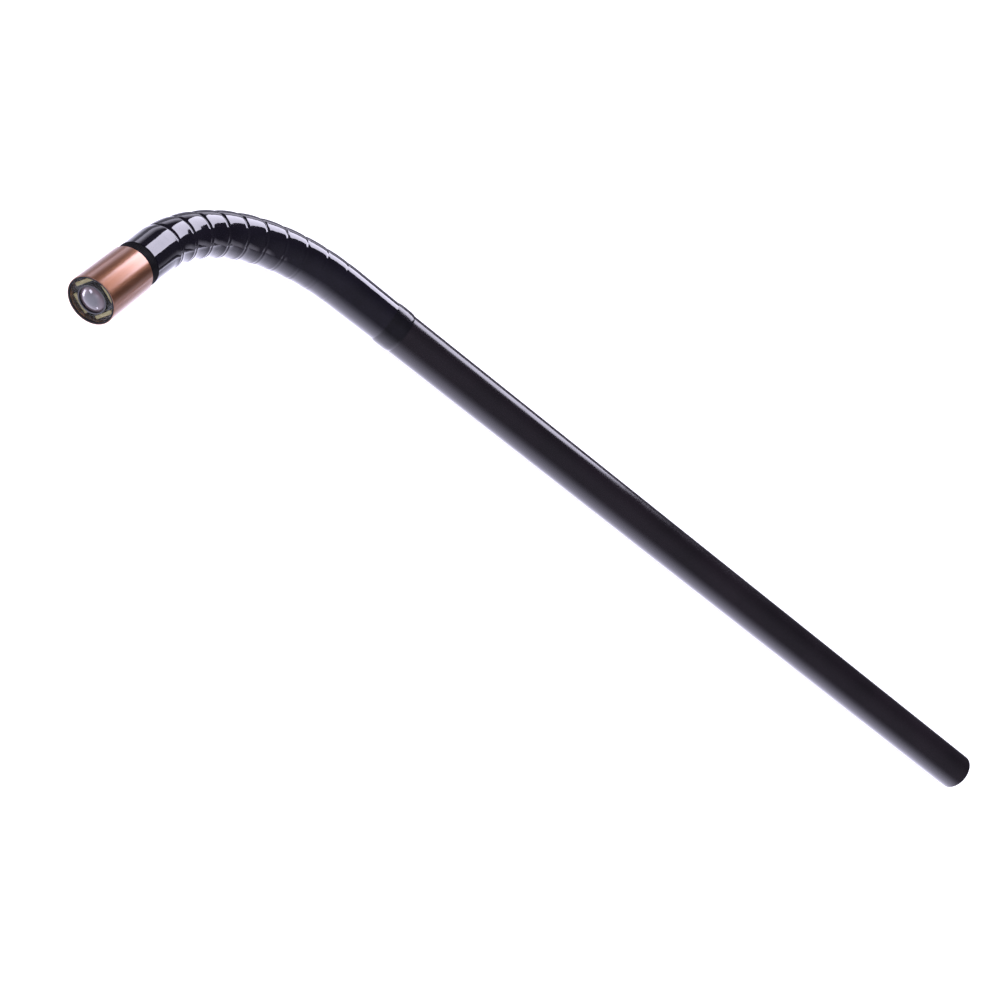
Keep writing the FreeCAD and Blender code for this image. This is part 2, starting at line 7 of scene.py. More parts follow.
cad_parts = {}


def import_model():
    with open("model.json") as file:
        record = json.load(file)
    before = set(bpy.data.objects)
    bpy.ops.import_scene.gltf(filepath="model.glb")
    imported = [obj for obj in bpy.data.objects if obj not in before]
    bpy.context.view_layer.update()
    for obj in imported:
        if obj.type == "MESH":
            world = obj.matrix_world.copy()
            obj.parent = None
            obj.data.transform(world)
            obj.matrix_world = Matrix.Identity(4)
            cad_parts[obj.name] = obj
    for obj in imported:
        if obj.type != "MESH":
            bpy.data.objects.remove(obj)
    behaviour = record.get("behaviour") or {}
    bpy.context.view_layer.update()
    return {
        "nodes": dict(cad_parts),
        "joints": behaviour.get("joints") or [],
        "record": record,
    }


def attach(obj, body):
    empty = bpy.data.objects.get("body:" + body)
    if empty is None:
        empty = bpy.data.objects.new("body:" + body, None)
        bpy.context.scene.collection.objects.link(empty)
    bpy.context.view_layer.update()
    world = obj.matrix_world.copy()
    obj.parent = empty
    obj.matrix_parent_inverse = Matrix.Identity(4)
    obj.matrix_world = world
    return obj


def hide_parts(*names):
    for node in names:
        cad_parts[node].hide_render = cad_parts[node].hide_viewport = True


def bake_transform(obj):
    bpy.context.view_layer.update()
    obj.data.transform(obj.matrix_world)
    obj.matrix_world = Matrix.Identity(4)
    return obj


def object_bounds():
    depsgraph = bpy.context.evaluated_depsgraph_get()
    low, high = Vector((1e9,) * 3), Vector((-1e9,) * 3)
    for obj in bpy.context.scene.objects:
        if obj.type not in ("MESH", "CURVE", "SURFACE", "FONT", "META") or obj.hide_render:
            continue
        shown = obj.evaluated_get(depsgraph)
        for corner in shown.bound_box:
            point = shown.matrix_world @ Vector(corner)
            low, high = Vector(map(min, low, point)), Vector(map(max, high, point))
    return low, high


# Articulating insertion tube of a video laryngoscope, lying on a white table with its bending section
# bent by 76.5 degrees. The frame is in metres: the origin is the centre of the cut end, +X runs along
# the straight tube towards the camera, +Z is up.

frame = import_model()

MM = 0.001
NODES = frame["nodes"]
JOINTS = frame["joints"]
HINGES = [Vector(joint["pos_m"]) for joint in JOINTS]
TIP_DIRECTION = Vector(next(m["axis"] for m in frame["record"]["mounts"] if m["name"] == "barrel_front"))
DIRECTIONS = [Vector((1, 0, 0))] + [b - a for a, b in zip(HINGES, HINGES[1:])] + [TIP_DIRECTION]
HEADINGS = [math.atan2(ahead.y, ahead.x) for ahead in DIRECTIONS]
PITCH = (HINGES[1] - HINGES[0]).length
TIP = Matrix.Translation(HINGES[-1]) @ Matrix.Rotation(HEADINGS[-1], 4, "Z")
TUBE = Matrix.Translation(HINGES[0])
ROUND_SIDES = 96
BARREL_SIDES = 128

# The bending rubber: its radii from the rear to the camera, and its creases.
RUBBER_BORE = 2.33 * MM
CREST_REAR = 2.82 * MM
CREST_FRONT = 2.68 * MM
RUBBER_FRONT_END = 2.62 * MM
CREASE_DEPTH = 0.09 * MM
CREASE_WIDTH = 0.3 * MM  # to each side of the hinge
SAG = 0.15 * MM  # how far a crease lies towards the inner side of the bend
REAR_SHARE = 0.35  # of the full depth, at the rearmost hinge
FULL_FROM = 5  # hinges on from there, where creases reach their full depth

# What runs through the links.
WIRE_OFFSET = 1.5 * MM
WIRE_RADIUS = 0.18 * MM
WIRE_SIDES = 12
CABLE_RADIUS = 0.75 * MM
CABLE_SIDES = 32

# The photograph's camera, solved from the tube's silhouette, the rib grooves and the barrel's face.
CAMERA_PLACE = Vector((156.016, 144.481, 109.962)) * MM
CAMERA_RIGHT = Vector((-0.74094, -0.16847, 0.6501))
CAMERA_AHEAD = Vector((-0.36451, -0.71215, -0.59998))
CAMERA_LENS = 54
SENSOR_WIDTH = 36
CAMERA_CLIPS = (0.005, 50)

# Where the light comes from, as the bright patches on the ribs and the barrel show it.
SOFTBOX_AZIMUTH = math.radians(-101)
SOFTBOX_RISE = math.radians(31)
SOFTBOX_DISTANCE = 0.5
SOFTBOX_SIZE = (0.37, 0.25)
SOFTBOX_RADIANCE = 5.4
SOFTBOX_TINT = "EAE6FC"  # the photograph's whites lean towards violet
FILL_AZIMUTH = math.radians(70)
FILL_RISE = math.radians(55)
FILL_DISTANCE = 1.2
FILL_SIZE = (1.0, 1.0)
FILL_RADIANCE = 2.4  # seen by no gloss
AMBIENT = 0.45  # world light on surfaces that aren't glossy

# What gloss shows round the object, where a strength of 1 is white.
ROOM_BEHIND = 0.04
ROOM_IN_FRONT = 0.16
ROOM_TURN = (-0.3, 0.5)  # cosines towards the front between which the room grows lighter
WALL_RISE = (0.12, 0.34)  # sine of the rise at which a wall starts to fade, and where it is gone
WALL_EDGE = (0.78, 0.93)  # cosines off a wall's middle between which it fades in
WALLS = ((math.radians(-68), 1.3), (math.radians(-178), 0.9))  # where each wall lies, how bright
TABLE_SIZE = 6
TABLE_TINT = "E2DFF8"
# Painted light on the table, seen only in gloss: a painted pool of light next to the object, and painted
# dark behind the tube.
TABLE_FAR = 0.3
TABLE_PAINTED_POOL = 2.6  # added to that next to the object
TABLE_REACH = 5.5 * MM  # where half of that is left
TABLE_PAINTED_DARK_BEHIND = 0.3
TABLE_TURN = 4 * MM  # behind the tube's middle, where the painted dark behind the tube is reached
TABLE_GLOW = 0.8  # added to the table for the camera, so that its shadow stays faint

# Catch lights on the front lens: across and up on its face, and the lamp's size, in millimetres.
GLINTS = (
    (-1.03, -0.10, (0.6, 2.2)),
    (-0.63, 0.75, (1.0, 0.8)),
    (0.50, -0.85, (0.8, 0.5)),
    (0.94, -0.26, (0.4, 0.4)),
)
GLINT_DISTANCE = 3 * MM
GLINT_RADIANCE = 10


def clear_selection():
    bpy.ops.object.select_all(action="DESELECT")


def span(node, place=Matrix.Identity(4)):
    """Start and end along X, bore and outer radius of a CAD node, in the frame of its place."""
    back = place.inverted()
    corners = [back @ vertex.co for vertex in NODES[node].data.vertices]
    along = [corner.x for corner in corners]
    radii = [math.hypot(corner.y, corner.z) for corner in corners]
    return min(along), max(along), min(radii), max(radii)


def turned(name, profile, sides=ROUND_SIDES, closed=True):
    """A piece turned about X: a ring of edges, extruded and resized from each (along, radius) to the
    next, and back to the first where the section is closed. A radius of 0 is a point on the axis, and
    a third value moves that ring's centre sideways, along Y."""
    clear_selection()
    point = 1e-7
    rings = [(ring[0], max(ring[1], point), ring[2] if len(ring) > 2 else 0) for ring in profile]
    along, radius, aside = rings[0]
    bpy.ops.mesh.primitive_circle_add(
        vertices=sides, radius=radius, location=(along, aside, 0), rotation=(0, math.pi / 2, 0)
    )
    piece = bpy.context.object
    piece.name = name
    bpy.ops.object.transform_apply(location=True, rotation=True, scale=True)
    bpy.ops.object.mode_set(mode="EDIT")
    bpy.ops.mesh.select_all(action="SELECT")
    for before, after in zip(rings, rings[1:] + (rings[:1] if closed else [])):
        bpy.ops.mesh.extrude_region_move(
            TRANSFORM_OT_translate={"value": (after[0] - before[0], after[2] - before[2], 0)}
        )
        growth = after[1] / before[1]
        bpy.ops.transform.resize(value=(1, growth, growth), center_override=(after[0], after[2], 0))
    bpy.ops.mesh.select_all(action="SELECT")
    bpy.ops.mesh.remove_doubles(threshold=5 * point)
    bpy.ops.mesh.normals_make_consistent(inside=False)
    bpy.ops.object.mode_set(mode="OBJECT")
    return piece


def smooth(piece, degrees=30):
    clear_selection()
    piece.select_set(True)
    bpy.context.view_layer.objects.active = piece
    bpy.ops.object.shade_smooth_by_angle(angle=math.radians(degrees))
    return piece


def settle(piece, place):
    """Moves a finished mesh to where it lies, and leaves its object at the origin."""
    clear_selection()
    piece.select_set(True)
    bpy.context.view_layer.objects.active = piece
    piece.matrix_world = place
    bpy.ops.object.transform_apply(location=True, rotation=True, scale=True)
    return piece


def finish(piece, body, nodes, surface):
    """Gives a piece its finish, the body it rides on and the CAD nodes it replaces."""
    piece.data.materials.clear()
    piece.data.materials.append(surface)
    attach(piece, body)
    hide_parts(*nodes)


def over_hinges(name, stretch, node, surface):
    """Lays a run over the hinges: stretch makes the straight piece for one hinge, one pitch long and
    centred on X 0. Each is bent by its hinge's angle at rest."""
    half = PITCH / 2
    for number, hinge in enumerate(HINGES):
        turn = HEADINGS[number + 1] - HEADINGS[number]
        radius = half / math.tan(turn / 2)
        piece = stretch(number)
        piece.name = f"{name}_{number + 1:02d}"
        # The arc over a hinge is a little shorter than the two straight halves of the links.
        piece.scale = (radius * turn / PITCH, 1, 1)
        bpy.ops.object.transform_apply(location=False, rotation=False, scale=True)
        bend = piece.modifiers.new("bend", "SIMPLE_DEFORM")
        bend.deform_method = "BEND"
        bend.deform_axis = "Z"
        bend.angle = turn
        bpy.ops.object.modifier_apply(modifier=bend.name)
        middle = HEADINGS[number] + turn / 2
        inwards = Vector((-math.sin(middle), math.cos(middle), 0))
        place = hinge + inwards * (radius / math.cos(turn / 2) - radius)
        settle(piece, Matrix.Translation(place) @ Matrix.Rotation(middle, 4, "Z"))
        piece.data.materials.clear()
        piece.data.materials.append(surface)
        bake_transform(piece)
        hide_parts(node)


# Materials

def linear(code):
    """The linear colour of an sRGB hex value such as C08A6E."""
    channels = []
    for place in (0, 2, 4):
        value = int(code[place:place + 2], 16) / 255
        channels.append(value / 12.92 if value <= 0.04045 else ((value + 0.055) / 1.055) ** 2.4)
    return (*channels, 1)


def add(tree, kind, inputs=None, **settings):
    """Adds a node. inputs gives its sockets a value, or the output that is linked to them."""
    made = tree.nodes.new(kind)
    for name, value in settings.items():
        setattr(made, name, value)
    for socket, value in (inputs or {}).items():
        if isinstance(value, bpy.types.NodeSocket):
            tree.links.new(value, made.inputs[socket])
        else:
            made.inputs[socket].default_value = value
    return made


def material(name, **constants):
    """A material with its shader, and the constants set on that shader's own sockets."""
    made = bpy.data.materials.new(name)
    made.use_nodes = True
    shader = made.node_tree.nodes["Principled BSDF"]
    for socket, value in constants.items():
        shader.inputs[socket.replace("_", " ")].default_value = value
    return made, made.node_tree, shader


def per_metre(size_mm):
    """A noise or wave scale that repeats about once in so many millimetres."""
    return 1 / (size_mm * MM)


def mottled(tree, shader, light, dark, size_mm, detail=4):
    """Colour that drifts between two tones."""
    place = add(tree, "ShaderNodeTexCoord").outputs["Object"]
    noise = add(tree, "ShaderNodeTexNoise", {
        "Vector": place, "Scale": per_metre(size_mm), "Detail": detail,
    })
    ramp = add(tree, "ShaderNodeValToRGB", {"Fac": noise.outputs["Fac"]})
    ramp.color_ramp.elements[0].position = 0.35
    ramp.color_ramp.elements[0].color = linear(dark)
    ramp.color_ramp.elements[1].position = 0.65
    ramp.color_ramp.elements[1].color = linear(light)
    tree.links.new(ramp.outputs["Color"], shader.inputs["Base Color"])
    return place


def uneven(tree, shader, place, low, high, size_mm):
    """Roughness that drifts, as handling and wiping leave it."""
    noise = add(tree, "ShaderNodeTexNoise", {
        "Vector": place, "Scale": per_metre(size_mm), "Detail": 3,
    })
    spread = add(tree, "ShaderNodeMapRange", {
        "Value": noise.outputs["Fac"], "From Min": 0.3, "From Max": 0.7,
        "To Min": low, "To Max": high,
    })
    tree.links.new(spread.outputs["Result"], shader.inputs["Roughness"])


def bumped(tree, shader, height, distance_mm):
    """Relief as deep as the distance where the pattern is white."""
    bump = add(tree, "ShaderNodeBump", {
        "Height": height, "Distance": distance_mm * MM, "Strength": 1.0,
    })
    tree.links.new(bump.outputs["Normal"], shader.inputs["Normal"])
    return bump


def bending_rubber():
    """Fluoroelastomer, dip-moulded thin and polished by its mould: near black, very glossy, and
    slightly wavy where the braid and the links press through it."""
    made, tree, shader = material(
        "glossy_fluoroelastomer", Roughness=0.08, IOR=1.5,
        Coat_Weight=1.0, Coat_Roughness=0.03, Coat_IOR=1.6,
    )
    place = mottled(tree, shader, "1B1922", "15131B", 3.0)
    waves = add(tree, "ShaderNodeTexNoise", {
        "Vector": place, "Scale": per_metre(1.8), "Detail": 2,
    })
    bump = bumped(tree, shader, waves.outputs["Fac"], 0.02)
    tree.links.new(bump.outputs["Normal"], shader.inputs["Coat Normal"])
    return made


def sheath_polyurethane():
    """Extruded polyurethane: satin black, with the drawn lines of the die along it."""
    made, tree, shader = material("extruded_polyurethane", IOR=1.8)
    place = mottled(tree, shader, "231D22", "1C181C", 6.0)
    uneven(tree, shader, place, 0.15, 0.22, 4.0)
    drawn = add(tree, "ShaderNodeMapping", {"Vector": place, "Scale": (0.02, 1, 1)})
    lines = add(tree, "ShaderNodeTexNoise", {
        "Vector": drawn.outputs["Vector"], "Scale": per_metre(0.5),
    })
    bumped(tree, shader, lines.outputs["Fac"], 0.004)
    return made


def binding_epoxy():
    """Polyester thread wound tight under black epoxy: glossy, a little uneven."""
    made, tree, shader = material(
        "epoxy_over_thread", IOR=1.55, Coat_Weight=0.6, Coat_Roughness=0.05,
    )
    place = mottled(tree, shader, "17161C", "100F13", 1.5)
    uneven(tree, shader, place, 0.12, 0.25, 1.0)
    drops = add(tree, "ShaderNodeTexNoise", {
        "Vector": place, "Scale": per_metre(0.9), "Detail": 2,
    })
    bumped(tree, shader, drops.outputs["Fac"], 0.03)
    return made


def binding_thread():
    """The same thread, wiped nearly dry: matt black, so that the narrow band stays dark."""
    made, tree, shader = material("waxed_thread", IOR=1.4, Specular_IOR_Level=0.2)
    place = mottled(tree, shader, "141317", "0D0C10", 0.8)
    uneven(tree, shader, place, 0.55, 0.7, 0.6)
    return made


def sealing_epoxy():
    """Black epoxy filled with silica, wiped off flush: matte."""
    made, tree, shader = material("sealing_epoxy", IOR=1.35)
    place = mottled(tree, shader, "17171A", "101012", 0.5)
    uneven(tree, shader, place, 0.6, 0.7, 0.5)
    return made


def barrel_aluminium():
    """Turned aluminium, copper-coloured by its anodising and sealed clear: satin, with fine rings
    left by the lathe, and a whiter sheen from the clear film."""
    made, tree, shader = material(
        "copper_anodised_aluminium", Metallic=0.92,
        Coat_Weight=1.0, Coat_Roughness=0.2, Coat_IOR=2.1,
    )
    place = mottled(tree, shader, "BF8058", "B37650", 5.0)
    uneven(tree, shader, place, 0.34, 0.4, 3.0)
    turn = add(tree, "ShaderNodeMapping", {"Vector": place, "Rotation": (0, 0, -HEADINGS[-1])})
    rings = add(tree, "ShaderNodeMapping", {
        "Vector": turn.outputs["Vector"], "Scale": (1, 0.02, 0.02),
    })
    marks = add(tree, "ShaderNodeTexNoise", {
        "Vector": rings.outputs["Vector"], "Scale": per_metre(0.2),
    })
    bumped(tree, shader, marks.outputs["Fac"], 0.001)
    return made


def steel(name, light, dark, roughness, grain_mm, height_mm):
    """Stainless steel: satin, with the grain that its making left in it."""
    made, tree, shader = material(name, Metallic=1.0)
    place = mottled(tree, shader, light, dark, 2.0)
    uneven(tree, shader, place, roughness - 0.05, roughness + 0.08, 1.0)
    grain = add(tree, "ShaderNodeTexNoise", {
        "Vector": place, "Scale": per_metre(grain_mm), "Detail": 4,
    })
    bumped(tree, shader, grain.outputs["Fac"], height_mm)
    return made


def braid_steel():
    """Drawn stainless wire, woven: crossing ridges half a millimetre apart, which is coarser than
    the real braid of 0.05 mm wire, so that they show."""
    made, tree, shader = material("woven_stainless_wire", Metallic=1.0, Roughness=0.35)
    place = mottled(tree, shader, "A7A9AC", "6E7073", 0.6)
    tilts = []
    for tilt in (math.radians(35), math.radians(-35)):
        turn = add(tree, "ShaderNodeMapping", {"Vector": place, "Rotation": (tilt, tilt, tilt)})
        tilts.append(add(tree, "ShaderNodeTexWave", {
            "Vector": turn.outputs["Vector"], "Scale": per_metre(1.5),
        }))
    woven = add(tree, "ShaderNodeMath", {
        0: tilts[0].outputs["Fac"], 1: tilts[1].outputs["Fac"],
    }, operation="MAXIMUM")
    bumped(tree, shader, woven.outputs["Value"], 0.04)
    return made


def cable_jacket():
    """Extruded fluoropolymer over the camera's coaxial pairs: dull grey."""
    made, tree, shader = material("extruded_fluoropolymer", IOR=1.36)
    place = mottled(tree, shader, "8C8E93", "7C7E83", 3.0)
    uneven(tree, shader, place, 0.35, 0.5, 1.0)
    return made


def lens_mount():
    """Black-anodised aluminium: matt, with turned rings."""
    made, tree, shader = material("black_anodised_aluminium", IOR=1.6)
    place = mottled(tree, shader, "1E1D22", "141317", 0.8)
    uneven(tree, shader, place, 0.3, 0.45, 0.4)
    return made


def lens_glass():
    """Polished crown glass with an antireflection coating, over the grey of the stop behind: slate grey
    in the middle, and towards the rim a painted milky violet reflection of the white table."""
    made, tree, shader = material(
        "coated_crown_glass", Roughness=0.04, IOR=1.52,
        Coat_Weight=0.4, Coat_Roughness=0.01, Coat_IOR=1.8,
    )
    place = mottled(tree, shader, "7E6F72", "6C6163", 1.2, detail=2)
    painted_reflection_tone = shader.inputs["Base Color"].links[0].from_socket
    middle = TIP @ Vector((span("front_lens", TIP)[1], 0, 0))
    grey_within, painted_reflection_beyond = 0.5 * MM, 1.3 * MM
    # Painted reflection: the base colour turns from grey to milky violet towards the rim.
    away = add(tree, "ShaderNodeVectorMath", {0: place, 1: middle}, operation="DISTANCE")
    painted_reflection_share = add(tree, "ShaderNodeMapRange", {
        "Value": away.outputs["Value"], "From Min": grey_within, "From Max": painted_reflection_beyond,
    }, interpolation_type="SMOOTHSTEP")
    drift = add(tree, "ShaderNodeMixRGB", {
        "Fac": painted_reflection_share.outputs["Result"], "Color1": linear("3F3F42"), "Color2": painted_reflection_tone,
    })
    tree.links.new(drift.outputs["Color"], shader.inputs["Base Color"])
    return made


def window_glass():
    """Clear epoxy, cast flat over the chips."""
    made, tree, shader = material("clear_epoxy", Roughness=0.03, IOR=1.5, Alpha=0.08)
    place = mottled(tree, shader, "8C8F86", "7C8078", 1.0)
    flow = add(tree, "ShaderNodeTexNoise", {
        "Vector": place, "Scale": per_metre(1.0), "Detail": 1,
    })
    bumped(tree, shader, flow.outputs["Fac"], 0.002)
    return made


def circuit_board():
    """Glass-epoxy laminate under a dark green solder mask."""
    made, tree, shader = material("dark_green_solder_mask", IOR=1.5)
    place = mottled(tree, shader, "222B2A", "161D1D", 0.5)
    uneven(tree, shader, place, 0.25, 0.4, 0.4)
    return made


def phosphor():
    """Phosphor in silicone over the light chips: dull yellow while it isn't lit."""
    made, tree, shader = material("phosphor_in_silicone", IOR=1.42, Roughness=0.45)
    place = mottled(tree, shader, "E4DCA4", "CFC68A", 0.35)
    grain = add(tree, "ShaderNodeTexNoise", {
        "Vector": place, "Scale": per_metre(0.1), "Detail": 3,
    })
    bumped(tree, shader, grain.outputs["Fac"], 0.01)
    return made


def silicon():
    """A bare image chip: dark, mirror-flat silicon."""
    made, tree, shader = material("polished_silicon", IOR=2.0, Roughness=0.12)
    mottled(tree, shader, "3A3550", "25303F", 0.8)
    return made


def dress(nodes, surface):
    """Gives CAD nodes that stay in the scene their finish."""
    for name in nodes:
        data = NODES[name].data
        data.materials.clear()
        data.materials.append(surface)


# Pieces

def barrel(surface, epoxy):
    """A thin shell, rounded at its front edge and chamfered inside it, where a black fillet seals
    the window."""
    rear, front, bore, radius = span("camera_barrel", TIP)
    rear_chamfer, bevel, round_steps = 0.1 * MM, 0.06 * MM, 6
    seal_depth, seal_sink = 0.15 * MM, 0.03 * MM
    seal = [(front - seal_depth, bore), (front - seal_sink, bore), (front, radius - bevel)]
    profile = [(rear, bore), seal[0], seal[2]]
    for step in range(round_steps + 1):
        turn = math.pi / 2 * step / round_steps
        along = front - bevel * (1 - math.cos(turn))
        profile.append((along, radius - bevel * (1 - math.sin(turn))))
    profile += [(rear + rear_chamfer, radius), (rear, radius - rear_chamfer)]
    piece = turned("camera_barrel_shell", profile, sides=BARREL_SIDES)
    settle(smooth(piece, 32), TIP)
    finish(piece, "camera_head", ["camera_barrel"], surface)
    fillet = turned("window_seal", seal, sides=BARREL_SIDES)
    settle(smooth(fillet, 32), TIP)
    finish(fillet, "camera_head", ["camera_barrel"], epoxy)


def front_band(surface):
    """Thread wound behind the barrel in six turns, each slightly rounded."""
    rear, front, bore, radius = span("front_binding", TIP)
    turns, steps, depth = 6, 6, 0.03 * MM
    width = (front - rear) / turns
    crown = [(front, bore)]
    for step in range(turns * steps + 1):
        swell = abs(math.sin(math.pi * step / steps))
        crown.append((front - width * step / steps, radius - depth * (1 - swell)))
    piece = turned("front_band", crown + [(rear, bore)])
    settle(smooth(piece, 40), TIP)
    finish(piece, "camera_head", ["front_binding"], surface)


def rear_ring(surface):
    """Thread and epoxy over the ends of sheath and rubber: a low bulge with feathered edges."""
    start, end, bore, radius = span("rear_binding")
    edge, steps = 0.03 * MM, 20
    crown = []
    for step in range(steps + 1):
        share = 1 - 2 * step / steps
        swell = 1 - abs(share) ** 4
        along = start + (end - start) * (1 - step / steps)
        crown.append((along, bore + edge + (radius - bore - edge) * swell))
    piece = turned("rear_binding_ring", [(start, bore), (end, bore)] + crown)
    smooth(piece, 40)
    finish(piece, "tube", ["rear_binding"], surface)


def sheath(surface):
    """A plain tube whose cut edges are barely eased."""
    start, end, bore, radius = span("outer_sheath")
    edge = 0.04 * MM
    piece = turned("sheath_tube", [
        (start, bore), (end, bore), (end, radius - edge), (end - edge, radius),
        (start + edge, radius), (start, radius - edge),
    ])
    smooth(piece)
    finish(piece, "tube", ["outer_sheath"], surface)


def rubber(surface):
    """Ribbed rubber over the links, with a narrow crease at each hinge. On the outer side of the bend,
    where the links stand apart, it sags between them, and on the inner side it bulges. Creases are
    deeper and the rubber is thinner towards the camera, and both ends are smooth."""
    half, rows = PITCH / 2, 40

    def crest(place):
        share = place / len(HINGES)
        return CREST_REAR + (CREST_FRONT - CREST_REAR) * share * share * (3 - 2 * share)

    def rib_halves(number):
        depth = REAR_SHARE + (1 - REAR_SHARE) * min(1, number / FULL_FROM)
        outer = []
        for row in range(rows + 1):
            share = 2 * row / rows - 1
            along = half * math.copysign(abs(share) ** 1.5, share)
            top = crest(number) + (crest(number + 1) - crest(number)) * (1 + along / half) / 2
            cut = max(0, 1 - abs(along) / CREASE_WIDTH) ** 1.5 * CREASE_DEPTH * depth
            sunk = (1 - abs(along) / half) ** 2.5 * SAG * depth
            outer.append((along, top - cut, sunk))
        inner = [(half, RUBBER_BORE), (-half, RUBBER_BORE)]
        return smooth(turned("rib_halves", outer + inner), 50)

    over_hinges("rubber_rib", rib_halves, "bending_rubber", surface)

    start = span("bending_rubber", TUBE)[0]
    _, ring_end, ring_bore, _ = span("rear_binding")
    play, lip = 0.01 * MM, 0.04 * MM
    under_ring = ring_bore - play
    first = turned("rubber_rear", [
        (start, RUBBER_BORE), (-half, RUBBER_BORE), (-half, CREST_REAR),
        (ring_end - HINGES[0].x, under_ring + lip), (start, under_ring),
    ])
    settle(smooth(first, 40), TUBE)
    finish(first, "tube", ["bending_rubber"], surface)
    end = span("front_binding", TIP)[0]
    last = turned("rubber_front", [
        (half, RUBBER_BORE), (end, RUBBER_BORE), (end, RUBBER_FRONT_END), (half, CREST_FRONT),
    ])
    settle(smooth(last, 40), TIP)
    finish(last, "camera_head", ["bending_rubber"], surface)


def runs_inside(name, node, radius, across, front_end, sides, surface):
    """A wire or cable that runs from the cut end through every link to the camera head."""
    half, rows = PITCH / 2, 8

    def stretch(part, start, end):
        piece = turned(part, [(start, 0), (start, radius)] + [
            (start + (end - start) * row / rows, radius) for row in range(1, rows + 1)
        ] + [(end, 0)], sides=sides, closed=False)
        smooth(piece, 40)
        piece.location = (0, across, 0)
        bpy.ops.object.transform_apply(location=True, rotation=False, scale=False)
        return piece

    def over_a_hinge(number):
        return stretch(f"{name}_stretch", -half, half)

    over_hinges(f"{name}_run", over_a_hinge, node, surface)
    rear = stretch(f"{name}_rear", -HINGES[0].x, -half)
    finish(settle(rear, TUBE), "tube", [node], surface)
    front = stretch(f"{name}_front", half, front_end)
    finish(settle(front, TIP), "camera_head", [node], surface)


def lens_ball():
    """Radius of the ball that the lens's dome is part of."""
    _, apex, _, radius = span("front_lens", TIP)
    back = TIP.inverted()
    corners = [back @ vertex.co for vertex in NODES["front_lens"].data.vertices]
    rim = max(corner.x for corner in corners if math.hypot(corner.y, corner.z) > 0.99 * radius)
    rise = apex - rim
    return (radius * radius + rise * rise) / (2 * rise)


def lens(surface):
    """The dome: part of a ball over the rim, with more rows than the solid."""
    rear, apex, _, radius = span("front_lens", TIP)
    ball, steps = lens_ball(), 16
    widest = math.asin(radius / ball)
    dome = []
    for step in range(steps + 1):
        turn = widest * (1 - step / steps)
        dome.append((apex - ball * (1 - math.cos(turn)), ball * math.sin(turn)))
    piece = turned("front_lens_glass", [(rear, 0), (rear, radius)] + dome, closed=False)
    settle(smooth(piece, 40), TIP)
    finish(piece, "camera_head", ["front_lens"], surface)


def light_chips(surface):
    """Each chip is the CAD's own block with its edges eased."""
    eased = 0.05 * MM
    chips = 4
    for number in range(1, chips + 1):
        node = f"led_chip_{number}"
        clear_selection()
        data = NODES[node].data.copy()
        piece = bpy.data.objects.new(f"light_chip_{number}", data)
        bpy.context.collection.objects.link(piece)
        piece.select_set(True)
        bpy.context.view_layer.objects.active = piece
        bpy.ops.object.mode_set(mode="EDIT")
        bpy.ops.mesh.select_all(action="SELECT")
        bpy.ops.mesh.remove_doubles(threshold=0.001 * MM)
        bpy.ops.mesh.tris_convert_to_quads()
        bpy.ops.mesh.select_all(action="SELECT")
        bpy.ops.mesh.bevel(offset=eased, segments=2, affect="EDGES")
        bpy.ops.object.mode_set(mode="OBJECT")
        smooth(piece, 40)
        finish(piece, "camera_head", [node], surface)


def model():
    barrel(barrel_aluminium(), sealing_epoxy())
    front_band(binding_thread())
    rear_ring(binding_epoxy())
    sheath(sheath_polyurethane())
    rubber(bending_rubber())
    rope = steel("drawn_stainless_rope", "B5B6B8", "8F9194", 0.3, 0.15, 0.01)
    for side, across in (("inner", WIRE_OFFSET), ("outer", -WIRE_OFFSET)):
        node = f"pull_wire_{side}"
        runs_inside(f"wire_{side}", node, WIRE_RADIUS, across, span(node, TIP)[1], WIRE_SIDES,
                    rope)
    board_rear = span("sensor_board", TIP)[0]
    runs_inside("cable", "camera_cable", CABLE_RADIUS, 0, board_rear, CABLE_SIDES,
                cable_jacket())
    glass = lens_glass()
    lens(glass)
    light_chips(phosphor())
    dress(["lens_barrel"], lens_mount())
    dress(["inner_lens"], glass)
    dress(["front_window"], window_glass())
    dress(["led_board", "sensor_board"], circuit_board())
    dress(["image_sensor"], silicon())
    dress(["tube_braid"], braid_steel())
    dress(["spiral_tube", "wire_conduit_inner", "wire_conduit_outer"],
          steel("spring_steel_strip", "9FA1A6", "7C7E84", 0.35, 0.2, 0.01))
    vertebrae = [f"vertebra_{number:02d}" for number in range(1, len(HINGES))]
    dress(["base_connector", "tip_connector"] + vertebrae,
          steel("laser_cut_stainless", "B9BABC", "A3A5A8", 0.3, 0.1, 0.003))
    dress([f"hinge_pins_{number:02d}" for number in range(1, len(HINGES) + 1)],
          steel("peened_rivet_steel", "C2C3C4", "A9AAAC", 0.35, 0.1, 0.01))


# Stage, camera and light

def aim(thing, place, ahead, right):
    up = right.cross(ahead)
    turn = Matrix((right, up, -ahead)).transposed().to_4x4()
    thing.matrix_world = Matrix.Translation(place) @ turn


def camera():
    data = bpy.data.cameras.new("camera")
    data.lens = CAMERA_LENS
    data.sensor_width = SENSOR_WIDTH
    data.clip_start, data.clip_end = CAMERA_CLIPS
    thing = bpy.data.objects.new("camera", data)
    bpy.context.collection.objects.link(thing)
    ahead = CAMERA_AHEAD.normalized()
    right = (CAMERA_RIGHT - ahead * CAMERA_RIGHT.dot(ahead)).normalized()
    aim(thing, CAMERA_PLACE, ahead, right)
    bpy.context.scene.camera = thing


